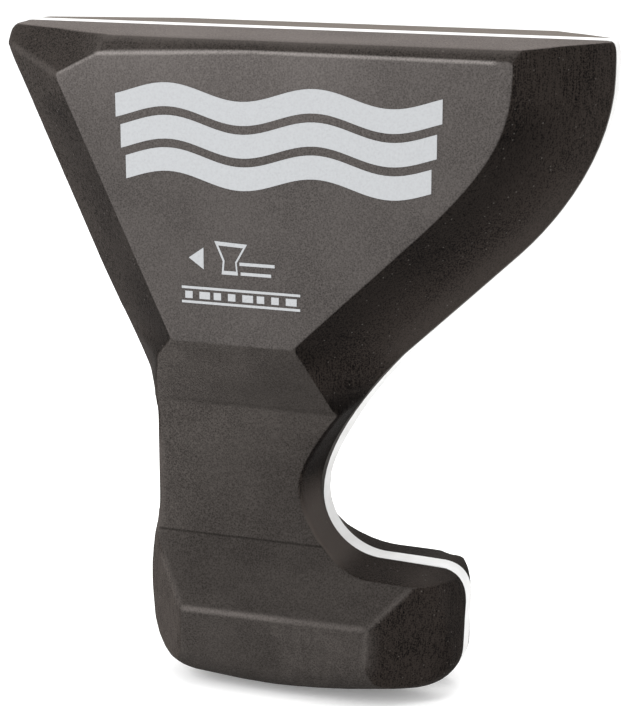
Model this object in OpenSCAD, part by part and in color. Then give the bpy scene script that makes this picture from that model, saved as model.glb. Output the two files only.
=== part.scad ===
// Pull buoy with a keel outline: two carved foam halves on a pale core sheet.
// Frame: upright, +Z up, front panel towards -Y, the core sheet centred on Y = 0.

/* [Overall] */
// Half of the whole thickness, from the middle of the core sheet to the panel
half_t = 38; // [30:0.5:48]
// Thickness of the pale core sheet
core_t = 8.6; // [4:0.2:16]
// Thickness of each film of contact adhesive
glue_t = 0.2; // [0.1:0.1:0.6]

/* [Wing] */
// Height of the whole block
wing_top = 280; // [240:1:320]
// Depth at which the top face ends and the top bevel starts
top_face_d = 35; // [28:0.5:37]
// How far the top face falls from the core to its front edge
top_drop = 1.1; // [0:0.1:4]
// Depth of the upright wall along the left side of the wing
left_wall_d = 17; // [8:0.5:30]
// Height of the lower edge of the front panel
panel_low = 156; // [140:1:175]

/* [Grip] */
// Depth of the grip on each side of the middle
grip_d = 23; // [16:0.5:32]
// Height of the upper crease of the grip
grip_top = 125; // [112:1:136]
// Height of the lower crease of the grip
grip_low = 67; // [60:1:80]
// How far the front wall of the hand notch leans out for each mm of depth
front_lean = 0.19; // [0:0.01:0.3]
// The same lean on the rear half
rear_lean = 0.36; // [0:0.01:0.4]

/* [Foot] */
// Depth of the foot ridge
ridge_d = 37.5; // [30:0.5:40]
// Height of the foot ridge
ridge_z = 37.5; // [28:0.5:46]

/* [Prints] */
// Thickness of the printed ink
ink_t = 0.15; // [0.05:0.05:0.4]
// Height of one emblem wave band
band_h = 9.5; // [6:0.5:10]
// Line width of the small printed outlines
line_w = 1.3; // [0.6:0.1:2.5]

/* [Hidden] */
$fn = 48;
inner_d = core_t / 2 + glue_t;
arc_n = 12;

foam_colour = [0.25, 0.24, 0.23];
core_colour = [0.90, 0.91, 0.92];
glue_colour = [0.28, 0.26, 0.24];
ink_colour = [0.88, 0.90, 0.92];

// Points of one cubic curve, its last point left out
function curve(p, q, r, s, n = arc_n) = [
    for (i = [0 : n - 1])
        let (t = i / n, u = 1 - t)
            u * u * u * p + 3 * u * u * t * q + 3 * u * t * t * r + t * t * t * s
];
// Points of a circular arc, its last point left out
function arc(c, r, a0, a1, n = arc_n) = [
    for (i = [0 : n - 1])
        let (a = a0 + (a1 - a0) * i / n)
            c + r * [cos(a), sin(a)]
];
// The same flat points set at one depth
function at_depth(pts, d) = [for (p = pts) [p[0], p[1], d]];

// Side outline, in X and Z
wing_right = concat(
    [[43.4, 148.6], [67, 171]],
    curve([90.7, 193.7], [108, 210.5], [126.8, 238], [126.6, 267]),
    curve([126.6, 267], [126.6, 277], [126.6, wing_top], [123, wing_top], 6)
);
wing_left = concat(
    curve([-121.5, wing_top], [-125, wing_top], [-126.6, 278], [-126.6, 275], 6),
    curve([-126.6, 275], [-126.6, 268], [-122, 260.5], [-118.3, 252], 6)
);
waist_left = concat(
    curve([-87.3, 181.5], [-77.6, 160], [-61.7, 139], [-60.5, 118]),
    curve([-60.5, 82], [-60.5, 68], [-66, 58], [-66, 40])
);
// The underside of the foot: the four points of each curve, then how deep the rounded edge
// starts at each end of it
foot_curves = [
    [[-66, 34], [-66, 14], [-58, 4.5], [-44, 2.4], 17, 19],
    [[-44, 2.4], [-28, 0.9], [-10, 0], [5, 0], 19, 18.5],
    [[5, 0], [22, 0], [38, 1.2], [50, 3.2], 18.5, 11],
    [[50, 3.2], [62, 5], [70, 12], [70.7, 22], 11, 6]
];
foot_right = concat(
    [for (f = foot_curves) each curve(f[0], f[1], f[2], f[3], 8)],
    curve([71.5, 43], [71.5, 52], [67.5, 56.5], [60, 57.3], 8)
);
notch_edge = concat(
    arc([35.2, 85], 27, -90, -180, 16),
    curve([8.2, 85], [8.2, 105], [25, 128.5], [43.4, 148.6])
);
side_outline = concat(wing_left, waist_left, foot_right, notch_edge, wing_right);
notch_area = concat(
    [[200, 57.3]], [[60, 57.3]], notch_edge, [[43.4, 148.6], [200, 290]]
);

// How the notch walls open: the sideways lean and the height it starts at, then the downward
// fall of the shelf for each mm of depth and the X it starts at
front_notch = [front_lean, 74, 0.05, 18];
rear_notch = [rear_lean, 52, 0.18, 4];

// Front panel, in X and Z
panel_outline = [
    [-46.7, panel_low], [6.4, panel_low], [58.7, 206.2], [78, 226], [86, 235.2],
    [90, 245.5], [92.5, 256.4], [93.3, 267.8], [90.9, 272.2], [60, 273.5],
    [32, 274.3], [-11, 273.9], [-76.6, 271], [-92, 264.5], [-95.4, 262]
];
neck_corner = [-79, 163];
crease_right = [21, grip_top, grip_d];
crease_left = [-61.5, grip_top, grip_d];

// ---------- shared shapes ----------

// Turns a drawing in X and Z with depth upwards into the front of the block
module upright() {
    rotate([90, 0, 0]) children();
}

// Convex solid through a list of points
module solid_of(pts) {
    hull() polyhedron(points = pts, faces = [[for (i = [0 : len(pts) - 1]) i]]);
}

// Flat sheet with the side outline
module outline_sheet(d0, d1) {
    translate([0, 0, d0])
        linear_extrude(height = d1 - d0) polygon(side_outline);
}

// Upper wing: bevels run from the outline up to the front panel
module wing_block() {
    top_front = [
        [-77, wing_top - top_drop, top_face_d],
        [94.5, wing_top - top_drop, top_face_d]
    ];
    solid_of(concat(
        at_depth(wing_right, inner_d),
        at_depth(wing_left, inner_d),
        at_depth(wing_left, left_wall_d),
        at_depth([[-87.3, 181.5], neck_corner], inner_d),
        at_depth([[-87.3, 181.5], neck_corner], left_wall_d),
        at_depth(panel_outline, half_t),
        top_front
    ));
}

// Slope between the panel and the grip
module neck_block() {
    right_edge = [[8.2, 90], [26, 127], [43.4, 148.6], [56, 160]];
    left_edge = [neck_corner, [-60.5, 125], [-60.5, 90]];
    solid_of(concat(
        at_depth(right_edge, inner_d),
        at_depth(left_edge, inner_d),
        at_depth([neck_corner], left_wall_d),
        at_depth([[-46.7, panel_low], [6.4, panel_low]], half_t),
        [crease_right, crease_left, [-61.5, 136, 29]],
        at_depth([[-55, 90], [5, 90]], grip_d),
        at_depth([[-10, 172]], grip_d)
    ));
}

// Grip: the thin middle that the hand closes on
module grip_block() {
    translate([-100, grip_low - 2, 0]) cube([200, grip_top - grip_low + 2, grip_d]);
}

// Place and direction on one cubic curve
function curve_at(f, t) = let (u = 1 - t)
    u * u * u * f[0] + 3 * u * u * t * f[1] + 3 * u * t * t * f[2] + t * t * t * f[3];
function curve_way(f, t) = let (
    u = 1 - t,
    w = u * u * (f[1] - f[0]) + 2 * u * t * (f[2] - f[1]) + t * t * (f[3] - f[2])
) w / norm(w);

// The rounded lower edge at one place along the underside, from the outline to the front
function low_edge(f, t) = let (
    at = curve_at(f, t),
    way = curve_way(f, t),
    inward = [-way[1], way[0]],
    start = f[4] + (f[5] - f[4]) * t,
    rise = 0.42 * (27 - start)
) [
    for (step = [[0, inner_d], [0, start], [rise, 27], [rise + 3, 31], [rise + 10, 34.5]])
        [at[0] + inward[0] * step[0], at[1] + inward[1] * step[0], step[1]]
];

// Foot: the ridge across the front, a bevel at each end of it, and a rounded lower edge
module foot_block() {
    ridge_ends = [[-45, ridge_z, ridge_d], [38.3, ridge_z, ridge_d]];
    top_corners = [
        [-62.5, grip_low, grip_d], [65.5, grip_low, grip_d],
        [-66, grip_low, inner_d], [73, grip_low, inner_d]
    ];
    left_bevel = [[-66.5, ridge_z, 19], [-66.5, 30, 19], [-46.5, 14, 34.5], [-66.5, 30, inner_d]];
    right_bevel = [
        [63.4, 57, 22.5], [65.5, 40, 17.8], [68, 20, 12.2], [36.3, 18, 34.8],
        [47.5, 10.5, 24.3], [71.5, 22, inner_d], [71.5, 57, inner_d]
    ];
    low_right = [for (t = [0.3, 0.6, 0.85])
        let (p = curve_at(foot_curves[3], t)) each [[p[0], p[1], inner_d], [p[0], p[1], 8]]];
    solid_of(concat(
        ridge_ends, top_corners, left_bevel, right_bevel, low_right,
        low_edge(foot_curves[0], 0.55), low_edge(foot_curves[0], 0.8),
        low_edge(foot_curves[1], 0.15), low_edge(foot_curves[1], 0.8),
        low_edge(foot_curves[2], 0.25), low_edge(foot_curves[2], 0.55)
    ));
}

// 0 below the start, 1 above the end, and even in between
function share(v, start, end) = min(max((v - start) / (end - start), 0), 1);

// Hand notch, whose walls lean out with depth
module notch_cut(notch) {
    depth = half_t + 4;
    n = len(notch_area);
    waist_fade = 20;
    shelf_fade = 12;
    function lean_at(z) = notch[0] * share(z, notch[1], notch[1] + waist_fade) * share(152 - z, 0, 50);
    function fall_at(x, z) = notch[2] * share(x, notch[3], notch[3] + shelf_fade)
        * share(72 - x, 0, shelf_fade) * share(85 - z, 0, 15);
    function opened(p) = [
        p[0] - depth * lean_at(p[1]), p[1] - depth * fall_at(p[0], p[1]), depth
    ];
    polyhedron(
        points = concat(at_depth(notch_area, 0), [for (p = notch_area) opened(p)]),
        faces = concat(
            [[for (i = [0 : n - 1]) n - 1 - i], [for (i = [0 : n - 1]) n + i]],
            [for (i = [0 : n - 1]) let (k = (i + 1) % n) each [[i, k, n + k], [i, n + k, n + i]]]
        ),
        convexity = 6
    );
}

// One carved foam half, on the front side
module foam_half(notch) {
    upright() difference() {
        intersection() {
            outline_sheet(inner_d, half_t);
            union() {
                wing_block();
                neck_block();
                grip_block();
                foot_block();
            }
        }
        notch_cut(notch);
    }
}

// ---------- sub-parts ----------

// Carved closed-cell foam in front of the core sheet, with the printed panel
module front_foam_half() {
    color(foam_colour) foam_half(front_notch);
}

// Pale foam sheet in the middle, seen as the stripe all round the edge
module core_sheet() {
    color(core_colour) upright() outline_sheet(-core_t / 2, core_t / 2);
}

// Carved closed-cell foam behind the core sheet, with a wider opening of the notch
module rear_foam_half() {
    color(foam_colour) mirror([0, 1, 0]) foam_half(rear_notch);
}

// Film of contact adhesive between the core sheet and the front half
module front_glue_film() {
    color(glue_colour) upright() outline_sheet(core_t / 2, inner_d);
}

// Film of contact adhesive between the core sheet and the rear half
module rear_glue_film() {
    color(glue_colour) mirror([0, 1, 0]) upright() outline_sheet(core_t / 2, inner_d);
}

// Sets a flat print on the front panel
module print_on_panel() {
    upright() translate([0, 0, half_t])
        linear_extrude(height = ink_t) children();
}

// One wave band of the emblem, between two X positions
module wave_band(x0, x1, z) {
    steps = 48;
    rise = 3.2;
    wave = 62;
    function mid(x) = z + rise * sin(360 * x / wave);
    lower = [for (i = [0 : steps])
        let (x = x0 + (x1 - x0) * i / steps) [x, mid(x) - band_h / 2]];
    upper = [for (i = [steps : -1 : 0])
        let (x = x0 + (x1 - x0) * i / steps) [x, mid(x) + band_h / 2]];
    polygon(concat(lower, upper));
}

// Emblem print: three wave bands across the upper panel
module emblem_print() {
    color(ink_colour) print_on_panel() {
        wave_band(-69, 67, 253);
        wave_band(-67, 65, 240);
        wave_band(-65, 63, 227);
    }
}

// Small solid triangle that points to the swimming direction
module arrow_print() {
    color(ink_colour) print_on_panel()
        polygon([[-38.2, 190.5], [-31.8, 186], [-31.8, 195]]);
}

// Small line drawing: a wing outline with two bars for the hands
module grip_mark_print() {
    wing = [[-27, 198], [-13, 197.4], [-17.5, 189.5], [-17, 184.5], [-24, 184.5], [-23.5, 190]];
    color(ink_colour) print_on_panel() {
        difference() {
            polygon(wing);
            polygon([for (p = wing) [-20.2, 191] + (p - [-20.2, 191]) * 0.76]);
        }
        translate([-16.3, 188.6]) square([15, line_w]);
        translate([-15.8, 184.6]) square([13, line_w]);
    }
}

// Plain caption bar under the drawing: a short row of blocks between two lines
module caption_print() {
    x0 = -41.5;
    w = 51;
    color(ink_colour) print_on_panel() {
        translate([x0, 177.6]) square([w, line_w * 0.8]);
        translate([x0, 171.6]) square([w, line_w * 0.8]);
        for (i = [0 : 7])
            translate([x0 + 1.5 + i * 6.2, 173.6]) square([i % 3 == 1 ? 4.6 : 3.2, 3]);
    }
}

front_foam_half();
core_sheet();
rear_foam_half();
front_glue_film();
rear_glue_film();
emblem_print();
arrow_print();
grip_mark_print();
caption_print();
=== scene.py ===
import functools
import math

import bpy
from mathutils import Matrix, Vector


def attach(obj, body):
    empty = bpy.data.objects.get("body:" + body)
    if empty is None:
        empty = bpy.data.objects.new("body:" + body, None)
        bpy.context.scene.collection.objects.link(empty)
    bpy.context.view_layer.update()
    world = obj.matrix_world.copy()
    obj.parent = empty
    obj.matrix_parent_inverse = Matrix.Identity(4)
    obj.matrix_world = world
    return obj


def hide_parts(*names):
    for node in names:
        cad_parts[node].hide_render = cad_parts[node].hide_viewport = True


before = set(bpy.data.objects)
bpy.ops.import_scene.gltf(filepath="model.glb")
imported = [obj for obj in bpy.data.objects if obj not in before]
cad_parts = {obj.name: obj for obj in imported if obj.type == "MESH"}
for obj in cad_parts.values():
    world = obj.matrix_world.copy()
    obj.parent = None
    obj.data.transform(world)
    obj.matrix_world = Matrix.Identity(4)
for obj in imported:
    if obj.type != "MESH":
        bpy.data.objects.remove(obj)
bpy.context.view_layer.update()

MM = 0.001

# ---------------------------------------------------------------- core sheet
# The pale middle sheet of closed-cell foam. Both carved halves are glued to it, and its
# sawn edge is the light stripe that runs all round the float.

CORE_THICK = 8.6
CORE_EDGE = 0.35
WELD = 1e-6

# One row for each knot of the side outline, in mm along X and Z: the handle before it,
# the knot, and the handle after it.
SIDE_KNOTS = [
    [(-39, 280), (-121.5, 280), (-125, 280)],
    [(-126.6, 278), (-126.6, 275), (-126.6, 268)],
    [(-122, 260.5), (-118.3, 252), (-108, 228.5)],
    [(-97.6, 205), (-87.3, 181.5), (-77.6, 160)],
    [(-61.7, 139), (-60.5, 118), (-60.5, 106)],
    [(-60.5, 94), (-60.5, 82), (-60.5, 68)],
    [(-66, 58), (-66, 40), (-66, 38)],
    [(-66, 36), (-66, 34), (-66, 14)],
    [(-58, 4.5), (-44, 2.4), (-28, 0.9)],
    [(-10, 0), (5, 0), (22, 0)],
    [(38, 1.2), (50, 3.2), (62, 5)],
    [(70, 12), (70.7, 22), (71, 29)],
    [(71.3, 36), (71.5, 43), (71.5, 52)],
    [(67.5, 56.5), (60, 57.3), (51.7, 57.6)],
    [(43.5, 57.9), (35.2, 58), (20.3, 58)],
    [(8.2, 70.1), (8.2, 85), (8.2, 105)],
    [(25, 128.5), (43.4, 148.6), (59, 163.5)],
    [(75, 178.7), (90.7, 193.7), (108, 210.5)],
    [(126.8, 238), (126.6, 267), (126.6, 277)],
    [(126.6, 280), (123, 280), (41, 280)],
]


def deselect():
    for o in bpy.context.selected_objects:
        o.select_set(False)
    bpy.context.view_layer.objects.active = None


def pick(obj, *others):
    """Selects only these objects and makes the first one active."""
    deselect()
    for o in (obj, *others):
        o.select_set(True)
    bpy.context.view_layer.objects.active = obj
    return obj


def settle(obj):
    """Puts the object's place and turn into its mesh."""
    pick(obj)
    bpy.ops.object.transform_apply(location=True, rotation=True, scale=True)
    return obj


def apply_modifiers(obj):
    pick(obj)
    for m in list(obj.modifiers):
        bpy.ops.object.modifier_apply(modifier=m.name)
    return obj


def sawn_sheet(name, low, high, steps=14):
    """A sheet with the side outline, sawn between two places in Y, in mm."""
    deselect()
    bpy.ops.curve.primitive_bezier_circle_add(radius=1, location=(0, 0, 0))
    obj = bpy.context.object
    obj.name = name
    line = obj.data.splines[0]
    line.bezier_points.add(len(SIDE_KNOTS) - len(line.bezier_points))
    for point, (before, at, after) in zip(line.bezier_points, SIDE_KNOTS):
        point.handle_left_type = point.handle_right_type = "FREE"
        point.co = (at[0] * MM, at[1] * MM, 0)
        point.handle_left = (before[0] * MM, before[1] * MM, 0)
        point.handle_right = (after[0] * MM, after[1] * MM, 0)
    obj.data.dimensions = "2D"
    obj.data.fill_mode = "BOTH"
    obj.data.resolution_u = steps
    obj.data.extrude = (high - low) / 2 * MM
    obj.rotation_euler = (math.radians(90), 0, 0)
    obj.location = (0, (low + high) / 2 * MM, 0)
    pick(obj)
    bpy.ops.object.convert(target="MESH")
    settle(obj)
    bpy.ops.object.mode_set(mode="EDIT")
    bpy.ops.mesh.select_all(action="SELECT")
    bpy.ops.mesh.remove_doubles(threshold=WELD)
    bpy.ops.mesh.normals_make_consistent(inside=False)
    bpy.ops.object.mode_set(mode="OBJECT")
    return obj


def share(value, start, end):
    """0 below the start, 1 above the end, and even in between."""
    return min(max((value - start) / (end - start), 0), 1)


# Under the wing the saw stood at a slant, so the rear face reaches a little further out there.
# The slant grows between two heights, and fades out below a third.
SLANT = 1.8
SLANT_GROWS = (90, 112)
SLANT_ENDS = 210
SLANT_FADE = 40
NOTCH_LEFT = 5

core = sawn_sheet("core_stripe", -CORE_THICK / 2, CORE_THICK / 2, steps=20)
for v in core.data.vertices:
    x, z = v.co.x / MM, v.co.z / MM
    if v.co.y > 0 and x > NOTCH_LEFT:
        slant = SLANT * share(z, *SLANT_GROWS) * share(SLANT_ENDS - z, 0, SLANT_FADE)
        v.co.x += slant * MM
edge = core.modifiers.new("edge", "BEVEL")
edge.width = CORE_EDGE * MM
edge.segments = 2
edge.limit_method = "ANGLE"
edge.angle_limit = math.radians(60)
apply_modifiers(core)
pick(core)
bpy.ops.object.shade_smooth_by_angle(angle=math.radians(30))


class Value:
    """A number on a shader socket, so that maths on it can be written as an expression."""

    def __init__(self, sheet, socket):
        self.sheet, self.socket = sheet, socket

    def _math(self, operation, *others):
        sockets = [o.socket if isinstance(o, Value) else o for o in others]
        return self.sheet.node(
            "ShaderNodeMath", {"operation": operation}, [self.socket, *sockets]
        )

    def __add__(self, other):
        return self._math("ADD", other)

    def __sub__(self, other):
        return self._math("SUBTRACT", other)

    def __mul__(self, other):
        return self._math("MULTIPLY", other)

    def __rsub__(self, other):
        return (self * -1) + other

    __radd__ = __add__
    __rmul__ = __mul__

    def size(self):
        """The value without its sign."""
        return self._math("ABSOLUTE")

    def top(self, other):
        """The larger of the two."""
        return self._math("MAXIMUM", other)

    def ramp(self, start, end):
        """0 below start and 1 above end, with a soft rise."""
        return self.sheet.node(
            "ShaderNodeMapRange",
            {"interpolation_type": "SMOOTHSTEP"},
            {"Value": self, "From Min": start, "From Max": end},
        )


class Finish:
    """One material's node sheet around a Principled shader."""

    def __init__(self, name, **constants):
        self.material = bpy.data.materials.new(name)
        self.material.use_nodes = True
        self.tree = self.material.node_tree
        self.shader = self.tree.nodes["Principled BSDF"]
        for socket, value in constants.items():
            self.shader.inputs[socket.replace("_", " ")].default_value = value

    def node(self, kind, settings, sockets=(), out=0):
        """A new node of this type, with its settings and its sockets' values or links."""
        made = self.tree.nodes.new(kind)
        for key, value in settings.items():
            setattr(made, key, value)
        pairs = sockets.items() if isinstance(sockets, dict) else enumerate(sockets)
        for key, value in pairs:
            if isinstance(value, Value):
                value = value.socket
            if isinstance(value, bpy.types.NodeSocket):
                self.tree.links.new(value, made.inputs[key])
            else:
                made.inputs[key].default_value = value
        return Value(self, made.outputs[out])

    def vector(self, operation, *sockets, out=0):
        return self.node("ShaderNodeVectorMath", {"operation": operation}, sockets, out)

    def place(self, scale=1.0, squeeze=(1, 1, 1)):
        """Object coordinates in millimetres, times scale along each axis."""
        at = self.node("ShaderNodeTexCoord", {}, out="Object")
        return self.vector("MULTIPLY", at, [scale * s / MM for s in squeeze])

    def noise(self, scale, detail=2.0, rough=0.5, squeeze=(1, 1, 1), seed=0.0):
        """Noise from 0 to 1 whose features are about 1 / scale mm across."""
        place = self.vector("ADD", self.place(scale, squeeze), (seed, seed * 1.7, seed * 0.6))
        return self.node(
            "ShaderNodeTexNoise",
            {},
            {"Vector": place, "Scale": 1.0, "Detail": detail, "Roughness": rough},
        )

    def cells(self, scale, seed=0.0):
        """Distance to the nearest cell centre, with cells about 1 / scale mm across."""
        place = self.vector("ADD", self.place(scale), (seed, seed, seed))
        return self.node("ShaderNodeTexVoronoi", {}, {"Vector": place, "Scale": 1.0})

    def near_line(self, place, start, end, wide):
        """1 on the straight line between two places in mm, fading beside it and at its ends."""
        start, end = Vector(start), Vector(end)
        run = (end - start).length
        along = (end - start) / run
        off = self.vector("SUBTRACT", place, start)
        gap = self.vector("LENGTH", self.vector("CROSS_PRODUCT", off, along), out=1)
        at = self.vector("DOT_PRODUCT", off, along, out=1)
        return (1 - gap.ramp(0, wide)) * at.ramp(-wide, wide) * (1 - at.ramp(run - wide, run + wide))

    def blend(self, amount, first, second):
        """One colour that runs from first to second. A Mix node has colours at 6, 7 and out 2."""
        mix = {0: amount, 6: first, 7: second}
        return self.node("ShaderNodeMix", {"data_type": "RGBA"}, mix, out=2)

    def set(self, socket, value):
        """Gives a socket of the shader a link or a value."""
        if isinstance(value, Value):
            self.tree.links.new(value.socket, self.shader.inputs[socket])
        else:
            self.shader.inputs[socket].default_value = value

    def bump(self, height, distance, strength):
        """Raises the surface by distance, in mm, where height is 1."""
        normal = self.node(
            "ShaderNodeBump", {}, {"Height": height, "Distance": distance * MM, "Strength": strength}
        )
        self.set("Normal", normal)


def wear(obj, finish):
    """Puts one finish on a new piece."""
    obj.data.materials.clear()
    obj.data.materials.append(finish.material)


PALE_TONES = (0.66, 0.657, 0.65, 1), (0.72, 0.718, 0.713, 1)
PORE_TONE = (0.52, 0.515, 0.505, 1)

pale = Finish("pale sawn foam", Roughness=0.75, Specular_IOR_Level=0.3)
mottle = pale.noise(0.12, 3).ramp(0.35, 0.7)
pores = pale.cells(1.6).ramp(0.02, 0.3)
pale_tone = pale.blend(mottle, *PALE_TONES)
pale.set("Base Color", pale.blend(pores * 0.5 + 0.5, PORE_TONE, pale_tone))
pale.bump(pores + pale.noise(0.8, 3) * 0.6, 0.12, 0.5)
wear(core, pale)
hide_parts("core_sheet")
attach(core, "root")

# ---------------------------------------------------------------- foam halves
# Two blocks of dense closed-cell foam, carved to shape with flat cuts and a round cut for
# the hand. The panel keeps its pebbled skin; every other face is cut and looks velvety.

# Depths in front of the middle: the panel, the glue line, the top face's edge, the left
# wall's edge, the grip and the ridge of the foot
HALF = 38.0
GLUE = 0.2
INNER = CORE_THICK / 2 + GLUE
TOP_FACE_D = 35.0
WALL_D = 17.0
GRIP_D = 23.0
RIDGE_D = 37.5

# Heights: the top face's edge, the panel's lower edge, the grip's two ends and the ridge
TOP_LOW = 278.9
PANEL_LOW = 156
GRIP_TOP = 125.0
GRIP_LOW = 67.0
RIDGE_Z = 37.5

PANEL_CORNER = (-95.4, HALF, 262)
INSIDE = -2
VOXEL = 1.05
BUFF_PASSES = 12


def spot(x, depth, z):
    """A place on the front half, given by its depth in front of the middle, in metres."""
    return Vector((x, -depth, z)) * MM


def rough_block(name, low, high):
    """A plain block of foam between two corners, ready to be carved."""
    deselect()
    bpy.ops.mesh.primitive_cube_add(size=1, location=(low + high) / 2)
    obj = bpy.context.object
    obj.name = name
    obj.scale = [abs(v) for v in (high - low)]
    return settle(obj)


def cut(obj, a, b, c):
    """One flat cut through three places. What lies on the far side from the middle falls off."""
    normal = (b - a).cross(c - a).normalized()
    middle = sum((v.co for v in obj.data.vertices), Vector()) / len(obj.data.vertices)
    if normal.dot(middle - a) > 0:
        normal = -normal
    pick(obj)
    bpy.ops.object.mode_set(mode="EDIT")
    bpy.ops.mesh.select_all(action="SELECT")
    bpy.ops.mesh.bisect(
        plane_co=a, plane_no=normal, use_fill=True, clear_outer=True, threshold=1e-7
    )
    bpy.ops.object.mode_set(mode="OBJECT")


def cut_along(obj, at, along, depth, far):
    """One flat cut that runs along the outline at one place, and through one more place."""
    near = spot(at.x, depth, at.y)
    cut(obj, near, near + spot(along.x, 0, along.y) * 5, far)


def cubic(points, t):
    """Place and direction on one cubic curve in X and Z."""
    u = 1 - t
    p, q, r, s = [Vector(v) for v in points]
    at = p * u**3 + q * 3 * u * u * t + r * 3 * u * t * t + s * t**3
    along = (q - p) * u * u + (r - q) * 2 * u * t + (s - r) * t * t
    return at, along.normalized()


def stretch(i):
    """The curve of the side outline from knot i to the next one."""
    return [*SIDE_KNOTS[i][1:], *SIDE_KNOTS[i + 1][:2]]


# Wing: the wide upper block. Its right side is cut in short steps, each from the outline to
# the edge of the panel, which is given as two curves in X and Z.
PANEL_LOW_LEFT = spot(-46.7, HALF, PANEL_LOW)
PANEL_LOW_RIGHT = spot(6.4, HALF, PANEL_LOW)
PANEL_RIGHT = [
    (stretch(16), [(6.4, PANEL_LOW), (24, 173), (41, 189), (58.7, 206.2)], 3),
    (stretch(17), [(58.7, 206.2), (80, 226.5), (93, 243), (93.3, 266)], 14),
]

wing = rough_block("wing", spot(-140, HALF, 112), spot(135, INSIDE, 285))
cut(wing, spot(0, INNER, 280), spot(50, INNER, 280), spot(0, TOP_FACE_D, TOP_LOW))
cut(wing, spot(94.5, TOP_FACE_D, TOP_LOW), spot(60, HALF, 273.7), spot(-11, HALF, 273.9))
cut(wing, spot(-77, TOP_FACE_D, TOP_LOW), spot(-11, HALF, 274.1), spot(-76.6, HALF, 271.4))
cut(wing, spot(*PANEL_CORNER), spot(-76.6, HALF, 271.3), spot(-122, 15, 279.7))
cut(wing, spot(*PANEL_CORNER), PANEL_LOW_LEFT, spot(-101.2, WALL_D, 211))
for outer, inner, steps in PANEL_RIGHT:
    for i in range(steps):
        t = (i + 0.5) / steps
        (at, along), (top, _) = cubic(outer, t), cubic(inner, t)
        cut_along(wing, at, along, INNER, spot(top.x, HALF, top.y))
cut(wing, PANEL_LOW_LEFT, PANEL_LOW_RIGHT, spot(0, GRIP_D, GRIP_TOP))

# Neck: the slope from the panel down to the grip. One row for each level: the outline on the
# right, then the right crest, the left crest and the left wall, each as X, depth and Z.
NECK_ROWS = [
    [(54, INNER, 158.8), (24, HALF, 173), (-54.5, HALF, 173), (-83, WALL_D, 173)],
    [(43.4, INNER, 148.6), (14, HALF, 163.4), (-50, HALF, 163.4), (-78.3, WALL_D, 163.4)],
    [(35, INNER, 139.5), (6.4, HALF, PANEL_LOW), (-46.7, HALF, PANEL_LOW), (-74.8, WALL_D, 156)],
    [(31, INNER, 134.8), (11.3, 32.8, 145.3), (-55.5, 33.2, 146), (-69.8, WALL_D, 146)],
    [(27.3, INNER, 130), (16.1, 27.7, 134.7), (-58.6, 28, 135.3), (-65.5, WALL_D, 136)],
    [(23.8, INNER, 122), (21, GRIP_D, 124), (-60.5, GRIP_D, 125), (-62, 18, 125)],
]


def lofted_block(name, rows):
    """A closed block through rows of places, each row going on to a flat back."""
    deselect()
    rows = [[(r[0][0], INSIDE, r[0][2]), *r, (r[-1][0], INSIDE, r[-1][2])] for r in rows]
    wide = len(rows[0])
    bpy.ops.mesh.primitive_grid_add(x_subdivisions=wide, y_subdivisions=len(rows) - 1)
    obj = bpy.context.object
    obj.name = name
    places = [place for row in rows for place in (*row, row[0])]
    for v, place in zip(obj.data.vertices, places, strict=True):
        v.co = spot(*place)
    bpy.ops.object.mode_set(mode="EDIT")
    bpy.ops.mesh.select_all(action="SELECT")
    bpy.ops.mesh.remove_doubles(threshold=WELD)
    bpy.ops.mesh.fill_holes(sides=0)
    bpy.ops.mesh.normals_make_consistent(inside=False)
    bpy.ops.object.mode_set(mode="OBJECT")
    return obj


neck = lofted_block("neck", NECK_ROWS)

# Grip: the thin middle that the hand closes on
grip = rough_block("grip", spot(-75, GRIP_D, 65), spot(60, INSIDE, 127))

# Foot: the thick lower block, with its ridge across the front
foot = rough_block("foot", spot(-75, RIDGE_D, -2), spot(80, INSIDE, 75))
cut(foot, spot(0, GRIP_D, GRIP_LOW), spot(50, GRIP_D, GRIP_LOW), spot(0, RIDGE_D, RIDGE_Z))
cut(foot, spot(0, RIDGE_D, RIDGE_Z), spot(50, RIDGE_D, RIDGE_Z), spot(0, 34, 14))
cut(foot, spot(38.5, 37.2, 38.5), spot(56.5, 28, 57.2), spot(36.7, 35.6, 24))
cut(foot, spot(71.5, INNER, 20), spot(71.5, INNER, 50), spot(65.5, 17.8, 40))
cut(foot, spot(-45, RIDGE_D, RIDGE_Z), spot(-62.5, GRIP_D, 66), spot(-66.5, 19, RIDGE_Z))
cut(foot, spot(-45, RIDGE_D, RIDGE_Z), spot(-46.5, 34.5, 14), spot(-66.5, 19, 30))

# The rounded edge under the foot: three flat cuts at each place along the underside. One row
# for each stretch of the outline: its first knot, the depths where the rounding starts at its
# two ends, and how many places. The rounding starts nearer the core towards the right.
UNDERSIDE = [(7, 17, 19, 6), (8, 19, 18.5, 2), (9, 18.5, 11, 5), (10, 11, 6, 7)]
ROUND_D = 27
ROUND_SLOPE = 0.42
for i, depth_from, depth_to, steps in UNDERSIDE:
    for k in range(steps):
        t = (k + 0.5) / steps
        at, along = cubic(stretch(i), t)
        inward = Vector((-along.y, along.x))
        start = depth_from + (depth_to - depth_from) * t
        rise = ROUND_SLOPE * (ROUND_D - start)
        edges = [(0, start), (rise, ROUND_D), (rise + 3, 31), (rise + 10, 34.5)]
        for (rise_0, depth_0), (rise_1, depth_1) in zip(edges, edges[1:]):
            far = at + inward * rise_1
            cut_along(foot, at + inward * rise_0, along, depth_0, spot(far.x, depth_1, far.y))


def saw_out(obj, blank):
    """Keeps only what lies inside the blank."""
    saw = obj.modifiers.new("saw", "BOOLEAN")
    saw.operation = "INTERSECT"
    saw.solver = "EXACT"
    saw.object = blank
    apply_modifiers(obj)


def copy_of(obj, name):
    pick(obj)
    bpy.ops.object.duplicate()
    made = bpy.context.object
    made.name = name
    return made


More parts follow.
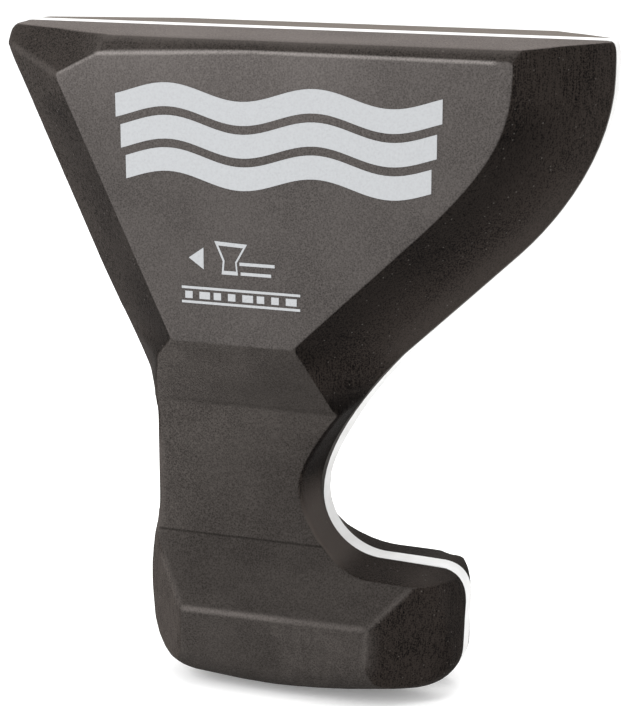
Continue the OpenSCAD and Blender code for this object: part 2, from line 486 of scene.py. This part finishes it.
# The hand notch lies between these places in X and Z. The saw's blank goes past the foam.
NOTCH_RIGHT = 72
NOTCH_LOW = 50
NOTCH_TOP = 152
SHELF_TOP = 85
SAW_FRONT = HALF + 6
SAW_BACK = 3


def carved_half(name, lean, low_z, fall, left_x):
    """One half: the blocks sawn to the outline, merged, and buffed so that edges are round.

    The walls of the hand notch open with depth: sideways at the waist by lean, from low_z
    up, and downwards at the shelf by fall, from left_x on.
    """
    blank = sawn_sheet("blank", -SAW_FRONT, SAW_BACK)
    reach = SAW_FRONT + SAW_BACK
    for v in blank.data.vertices:
        x, z = v.co.x / MM, v.co.z / MM
        in_notch = NOTCH_LEFT < x < NOTCH_RIGHT and NOTCH_LOW < z < NOTCH_TOP
        if in_notch and v.co.y < -HALF * MM:
            shift = lean * reach * share(z, low_z, low_z + 20) * share(NOTCH_TOP - z, 0, 50)
            drop = fall * reach * share(x, left_x, left_x + 12) * share(NOTCH_RIGHT - x, 0, 12)
            v.co.x -= shift * MM
            v.co.z -= drop * share(SHELF_TOP - z, 0, 15) * MM
    blocks = []
    for block in (wing, neck, grip, foot):
        part = copy_of(block, block.name + "_sawn")
        saw_out(part, blank)
        blocks.append(part)
    bpy.data.objects.remove(blank)
    half = pick(*blocks)
    bpy.ops.object.join()
    half.name = name
    even = half.modifiers.new("even", "REMESH")
    even.mode = "VOXEL"
    even.voxel_size = VOXEL * MM
    even.adaptivity = 0.0
    apply_modifiers(half)
    soften = half.modifiers.new("soften", "SMOOTH")
    soften.factor = 0.5
    soften.iterations = BUFF_PASSES
    apply_modifiers(half)
    pick(half)
    bpy.ops.object.mode_set(mode="EDIT")
    bpy.ops.mesh.select_all(action="SELECT")
    bpy.ops.mesh.bisect(
        plane_co=(0, -INNER * MM, 0), plane_no=(0, 1, 0), use_fill=True, clear_outer=True
    )
    bpy.ops.object.mode_set(mode="OBJECT")
    bpy.ops.object.shade_smooth_by_angle(angle=math.radians(60))
    return half


front = carved_half("front_block", lean=0.19, low_z=74, fall=0.05, left_x=18)
rear = carved_half("rear_block", lean=0.36, low_z=52, fall=0.18, left_x=4)

# The rear half is carved the same way and then turned over to the back
pick(rear)
bpy.ops.object.mode_set(mode="EDIT")
bpy.ops.mesh.select_all(action="SELECT")
bpy.ops.transform.resize(value=(1, -1, 1), center_override=(0, 0, 0))
bpy.ops.mesh.flip_normals()
bpy.ops.object.mode_set(mode="OBJECT")
for block in (wing, neck, grip, foot):
    bpy.data.objects.remove(block)

# Tones of the foam, each pair from open pores to the walls between them
WIDE_TONES = (0.014, 0.012, 0.011, 1), (0.070, 0.062, 0.057, 1)
RIGHT_TONES = (0.0, 0.0, 0.0, 1), (0.024, 0.0192, 0.0165, 1)
# Lighter tones for the cuts that face left: painted light from the key lamp on the left
LEFT_LIT_TONES = (0.004, 0.003, 0.0024, 1), (0.046, 0.039, 0.035, 1)
SKIN_TONES = (0.028, 0.025, 0.0235, 1), (0.082, 0.074, 0.070, 1)
# A lighter copy of the skin: painted light near the top of the panel
PAINTED_LIGHT_SKIN_TONES = (0.074, 0.066, 0.062, 1), (0.146, 0.132, 0.126, 1)
# The top face is dusty, and its tones are lighter also as painted light and sheen from above
TOP_DUST_AND_SHEEN_TONES = (0.058, 0.051, 0.048, 1), (0.138, 0.121, 0.113, 1)
REAR_TOP_TONE = (0.16, 0.14, 0.12, 1)
# Worn places and painted shade on the wide faces
WORN_AND_SHADE_TONE = (0.010, 0.0085, 0.0075, 1)
# Painted shade in the notch, on the shelf and on the inner cuts
PAINTED_SHADE_TONE = (0.0, 0.0, 0.0, 1)
PALER_CUT_TONE = (0.056, 0.047, 0.042, 1)
SPECK_TONE = (0.13, 0.12, 0.11, 1)
# Painted highlights along the creases and edges
CUT_HIGHLIGHT_TONE = (0.10, 0.088, 0.082, 1)
FOOT_HIGHLIGHT_TONE = (0.110, 0.098, 0.092, 1)
PANEL_HIGHLIGHT_TONE = (0.24, 0.22, 0.21, 1)
# Painted shade in the inner corners of the grip
CREASE_SHADE_TONE = (0.008, 0.007, 0.006, 1)

dark = Finish(
    "dark carved foam",
    Roughness=0.8,
    Specular_IOR_Level=0.02,
    Sheen_Weight=0.02,
    Sheen_Roughness=0.5,
    Sheen_Tint=(1.0, 0.93, 0.90, 1),
)


def axes(vector):
    """The three parts of a vector."""
    outs = dark.node("ShaderNodeSeparateXYZ", {}, [vector]).socket.node.outputs
    return [Value(dark, outs[k]) for k in "XYZ"]


across, behind, height = axes(dark.place())
face_x, face_y, face_z = axes(dark.node("ShaderNodeTexCoord", {}, out="Normal"))
depth = behind.size()
front_share = face_y.size()

# Masks, 1 on the part of the block that they name
below_ridge = 1 - height.ramp(RIDGE_Z - 0.5, RIDGE_Z + 1.5)
above_shelf = height.ramp(GRIP_LOW - 1, GRIP_LOW + 1)
below_shelf = 1 - above_shelf
above_grip = height.ramp(GRIP_TOP - 1, GRIP_TOP + 1)
skin = depth.ramp(HALF - 0.7, HALF - 0.25) * height.ramp(140, 150)
top_bevel = height.ramp(258, 264) * (0.8 - across.ramp(-92, -76) * 0.27)
side = face_x.size().ramp(0.24, 0.42).top((1 - front_share).ramp(0.5, 0.7)).top(top_bevel)
left_cut = (face_x * -1).ramp(0.25, 0.45) * front_share.ramp(0.3, 0.5)
top_face = face_z.ramp(0.75, 0.95) * height.ramp(240, 260)
underside = (face_z * -1).ramp(0.25, 0.7) * below_ridge

# Fine grain everywhere, saw streaks on the cuts, and a few pale specks of dust
cloud = dark.noise(0.03, 3, seed=3.0).ramp(0.3, 0.7)
speck = dark.noise(1.7, 2, 0.6, seed=5.0) * 0.6 + dark.cells(1.4) * 0.4 + cloud * 0.1
speck = speck.ramp(0.15, 0.8)
streak = dark.noise(1.7, 2, 0.5, (1, 1, 0.06), seed=9.0).ramp(0.3, 0.7)
dust = 1 - dark.cells(0.3, seed=4.0).ramp(0.05, 0.13)
dust = dust * dark.noise(0.15, 1, seed=6.0).ramp(0.35, 0.6)

# The wide faces are worn darker in places at random, with painted shade mixed in: darker towards the
# right, on the faces under the ridge that turn down and near the bottom, and lighter at the far
# left. A share for each, from the foot up to the slope
wiped = dark.noise(0.06, 4, 0.6, (0.6, 1, 1.6), seed=12.0).ramp(0.35, 0.65) - 0.5
moulded = dark.noise(0.3, 1, squeeze=(1, 1, 0.06), seed=15.0).ramp(0.4, 0.6)
moulded = moulded * below_ridge * across.ramp(-15, 0) * (1 - across.ramp(26, 34))
worn_and_shaded = below_shelf * (0.36 + across.ramp(-50, -10) * 0.07)
worn_and_shaded = worn_and_shaded - below_ridge * (across.ramp(-20, 40) * 0.10 + 0.10)
worn_and_shaded = worn_and_shaded + above_grip * (across.ramp(-55, -25) * 0.10 + 0.14 - height.ramp(126, 150) * 0.1)
worn_and_shaded = worn_and_shaded + wiped * 0.12 - moulded * 0.12 + (1 - height.ramp(4, 22)) * 0.12
worn_and_shaded = worn_and_shaded + underside * 0.25 - (1 - across.ramp(-60, -36)) * 0.09
worn_and_shaded = worn_and_shaded + across.ramp(-60, 20) * above_shelf * (1 - height.ramp(150, 160)) * 0.28
worn_and_shaded = worn_and_shaded + above_shelf * (1 - height.ramp(100, 124)) * 0.12
wide_tone = dark.blend(worn_and_shaded, dark.blend(speck, *WIDE_TONES), WORN_AND_SHADE_TONE)

# The cuts along the sides, with their grain. Painted shade darkens the inner part of the right
# bevel, the lower left bevel, the shelf, the notch wall and the outer part of the right foot
right_grain = (streak * 0.3 + speck * 0.7).ramp(0.2, 0.8)
left_grain = (speck * 0.7 + streak * 0.3).ramp(0.2, 0.8)
on_shelf = face_z.ramp(0.6, 0.9) * (1 - height.ramp(66, 72))
inner_cut = depth.ramp(14, 32) * height.ramp(140, 155) * (1 - height.ramp(245, 262)) * 0.45
left_low = left_cut * (1 - height.ramp(165, 220) * 0.7) * height.ramp(125, 135)
left_low = left_low * (0.32 + depth.ramp(20, 34) * 0.3)
shelf_left = on_shelf * (0.12 - across.ramp(30, 60) * 0.12)
notch_wall = across.ramp(2, 8) * (1 - height.ramp(128, 140)) * height.ramp(86, 100) * 0.65
foot_side = across.ramp(58, 64) * (1 - height.ramp(56, 60)) * (1 - depth.ramp(13, 20)) * 0.3
painted_shade = inner_cut.top(left_low).top(shelf_left).top(notch_wall).top(foot_side)

# Other places on the cuts are a little paler: the outer band of the right bevel, the lower waist,
# the right of the shelf and the lower left foot
outer_cut = (1 - depth.ramp(7, 18)) * height.ramp(135, 150) * across.ramp(30, 45)
outer_cut = outer_cut * (1 - height.ramp(205, 245) * 0.7) * 0.36
waist_low = (1 - height.ramp(80, 98)) * height.ramp(57, 64) * across.ramp(0, 8)
shelf_right = on_shelf * across.ramp(42, 60) * 0.22
left_foot = left_cut * (1 - height.ramp(28, 44)) * 0.25
paler_cut = outer_cut.top(waist_low).top(left_foot).top(shelf_right)

side_tone = dark.blend(right_grain, *RIGHT_TONES)
# Cuts that face left are lighter: painted light from the key lamp
side_tone = dark.blend(left_cut, side_tone, dark.blend(left_grain, *LEFT_LIT_TONES))
# Painted shade in the recesses and on the inner cuts
side_tone = dark.blend(painted_shade, side_tone, PAINTED_SHADE_TONE)
side_tone = dark.blend(paler_cut, side_tone, PALER_CUT_TONE)
side_tone = dark.blend(dust * 0.55, side_tone, SPECK_TONE)

# The skin of the panel is lighter near its top, as painted light. The top face is dusty, and lighter
# also as painted light and sheen from above
painted_light_on_skin = height.ramp(225, 275) * (1 - across.ramp(0, 70) * 0.7) * 0.5
skin_tone = dark.blend(speck, *SKIN_TONES)
skin_tone = dark.blend(painted_light_on_skin, skin_tone, dark.blend(speck, *PAINTED_LIGHT_SKIN_TONES))
top_dust_and_sheen_tone = dark.blend(speck, *TOP_DUST_AND_SHEEN_TONES)
top_dust_and_sheen_tone = dark.blend(behind.ramp(0, 5) * 0.6, top_dust_and_sheen_tone, REAR_TOP_TONE)

# Painted highlights along the convex creases and edges, and painted shade along the inner corners.
# One row for each
# crease: the places where it starts and ends, its width, and how strongly it shows.
FOOT_CORNER = (38, 37, 38.5)
PANEL_HIGHLIGHTS = [
    ((-78, HALF, 271.2), (-11, HALF, 274.3), 1.3, 1),
    ((-11, HALF, 274.3), (87, HALF, 273.8), 1.3, 1),
    (PANEL_CORNER, (-77, HALF, 271.2), 1.3, 0.5),
]
FOOT_HIGHLIGHTS = [
    ((-45, 37.2, RIDGE_Z), (38, 37, 38.3), 2.2, 1 - across.ramp(-10, 12) * 0.45),
    ((-45, 37, RIDGE_Z), (-58, 27, 57), 3.2, 0.3),
    (FOOT_CORNER, (54, 29, 55), 2.5, 0.35),
    (FOOT_CORNER, (36.2, 35, 22), 2.5, 0.3),
]
CUT_HIGHLIGHTS = [
    ((-79, TOP_FACE_D, 279), (95, TOP_FACE_D, 279), 4, 0.4),
    (PANEL_CORNER, (-124, 21, 271), 3, 0.3),
    ((-77, TOP_FACE_D, 279), (-76.6, HALF, 271), 2.5, 0.2),
    ((-62, GRIP_D, 64), (-60.5, GRIP_D, 108), 6, 0.45),
]
CREASE_SHADES = [
    ((-60, GRIP_D, GRIP_LOW), (14, GRIP_D, GRIP_LOW), 0.9, 0.7),
    ((-58, GRIP_D, 126), (19, GRIP_D, 126), 2, 0.22),
]
ROUND_CORNER = [(FOOT_CORNER, (36.2, 35, 16), 8, 0.6)]
folded = dark.node("ShaderNodeCombineXYZ", {}, [across, depth, height])


def creases(rows):
    """1 on the creases of either half, less where they show less."""
    lines = [dark.near_line(folded, start, end, wide) * shows for start, end, wide, shows in rows]
    return functools.reduce(Value.top, lines)


tone = dark.blend(side * (1 - creases(ROUND_CORNER)), wide_tone, side_tone)
# The top face: dust, with painted light and sheen from above
tone = dark.blend(top_face, tone, top_dust_and_sheen_tone)
# Painted highlights along the cut edges and the foot's creases
tone = dark.blend(creases(CUT_HIGHLIGHTS), tone, CUT_HIGHLIGHT_TONE)
tone = dark.blend(creases(FOOT_HIGHLIGHTS) * (0.4 + speck * 0.6), tone, FOOT_HIGHLIGHT_TONE)
# Painted shade along the inner corners of the grip
tone = dark.blend(creases(CREASE_SHADES), tone, CREASE_SHADE_TONE)
tone = dark.blend(skin, tone, skin_tone)
# Painted highlight along the top edge of the panel
tone = dark.blend(creases(PANEL_HIGHLIGHTS) * (0.35 + speck * 0.5), tone, PANEL_HIGHLIGHT_TONE)
dark.set("Base Color", tone)


def pebbles(finish):
    """The moulded pebble pattern of the skin, which also shows through the prints."""
    return finish.cells(1.05) * 0.7 + finish.noise(1.3, 3) * 0.6


fuzz = dark.noise(1.8, 3, 0.7)
dark.bump(skin * pebbles(dark) + (1 - skin) * fuzz, 0.45, 0.9)
for half, node in ((front, "front_foam_half"), (rear, "rear_foam_half")):
    wear(half, dark)
    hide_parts(node)
    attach(half, "root")

# ---------------------------------------------------------------- glue films
# Contact adhesive, rolled on both faces and pressed. Only its thin dark edge shows.

GLUE_TONES = (0.035, 0.031, 0.028, 1), (0.075, 0.068, 0.058, 1)


def coat(node, finish):
    """Puts a finish on a piece that the CAD gives."""
    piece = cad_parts[node]
    piece.data.materials.clear()
    piece.data.materials.append(finish.material)


glue = Finish("dried contact adhesive", Roughness=0.5)
glue.set("Base Color", glue.blend(glue.noise(0.4, 3), *GLUE_TONES))
glue.bump(glue.noise(1.5, 2), 0.05, 0.5)
for node in ("front_glue_film", "rear_glue_film"):
    coat(node, glue)

# ---------------------------------------------------------------- printed marks
# Screen-print ink on the pebbled skin of the front panel. The skin shows through as a
# slightly rough surface with a few thin spots.

INK_TONES = (0.342, 0.349, 0.359, 1), (0.362, 0.371, 0.382, 1)

ink = Finish("screen-print ink", Roughness=0.6, Specular_IOR_Level=0.25)
thin = (ink.cells(0.9) * 0.5 + ink.noise(1.1, 3, seed=2.0) * 0.6).ramp(0.3, 0.7)
ink.set("Base Color", ink.blend(thin, *INK_TONES))
ink.bump(pebbles(ink), 0.3, 0.6)
for node in ("emblem_print", "arrow_print", "grip_mark_print", "caption_print"):
    coat(node, ink)

# ---------------------------------------------------------------- floor, light, camera
# A plain pale floor and soft studio light from the upper left.

FLOOR_TONE = (0.93, 0.93, 0.93, 1)
WHITE = (1, 1, 1, 1)
FLOOR_GLOW = 0.2
ROOM_LIGHT = 1.03
MIDDLE = (0, 0, 0.15)

deselect()
bpy.ops.mesh.primitive_plane_add(size=14, location=(0, 3, -0.0005))
floor = bpy.context.object
floor.name = "floor"
settle(floor)
ground = Finish("pale floor", Roughness=0.9, Specular_IOR_Level=0.1)
ground.set("Base Color", FLOOR_TONE)
ground.set("Emission Color", WHITE)
ground.set("Emission Strength", FLOOR_GLOW)
floor.data.materials.append(ground.material)

world = bpy.data.worlds.new("studio")
world.use_nodes = True
room = world.node_tree.nodes["Background"]
room.inputs["Color"].default_value = WHITE
room.inputs["Strength"].default_value = ROOM_LIGHT
bpy.context.scene.world = world


def softbox(name, place, size, power):
    """A rectangular lamp that points at the middle of the float."""
    deselect()
    bpy.ops.object.light_add(type="AREA", location=place)
    lamp = bpy.context.object
    lamp.name = name
    lamp.data.shape = "RECTANGLE"
    lamp.data.size, lamp.data.size_y = size
    lamp.data.energy = power
    lamp.rotation_euler = (Vector(MIDDLE) - Vector(place)).to_track_quat("-Z", "Y").to_euler()


softbox("key", place=(-1.2, -1.0, 1.1), size=(1.2, 1.2), power=22)
softbox("overhead", place=(0.1, 0.1, 1.8), size=(1.6, 1.2), power=18)

CAMERA_AZ = math.radians(19)
CAMERA_EL = math.radians(15)
CAMERA_FAR = 0.8632
CAMERA_LENS = 104.53
aim = Vector((0.002, 0, 0.1443))
back = Vector((
    math.sin(CAMERA_AZ) * math.cos(CAMERA_EL),
    -math.cos(CAMERA_AZ) * math.cos(CAMERA_EL),
    math.sin(CAMERA_EL),
))
deselect()
bpy.ops.object.camera_add(location=aim + back * CAMERA_FAR)
camera = bpy.context.object
camera.rotation_euler = (-back).to_track_quat("-Z", "Y").to_euler()
camera.data.lens = CAMERA_LENS
camera.data.sensor_width = 36
bpy.context.scene.camera = camera
bpy.context.scene.view_settings.view_transform = "Standard"
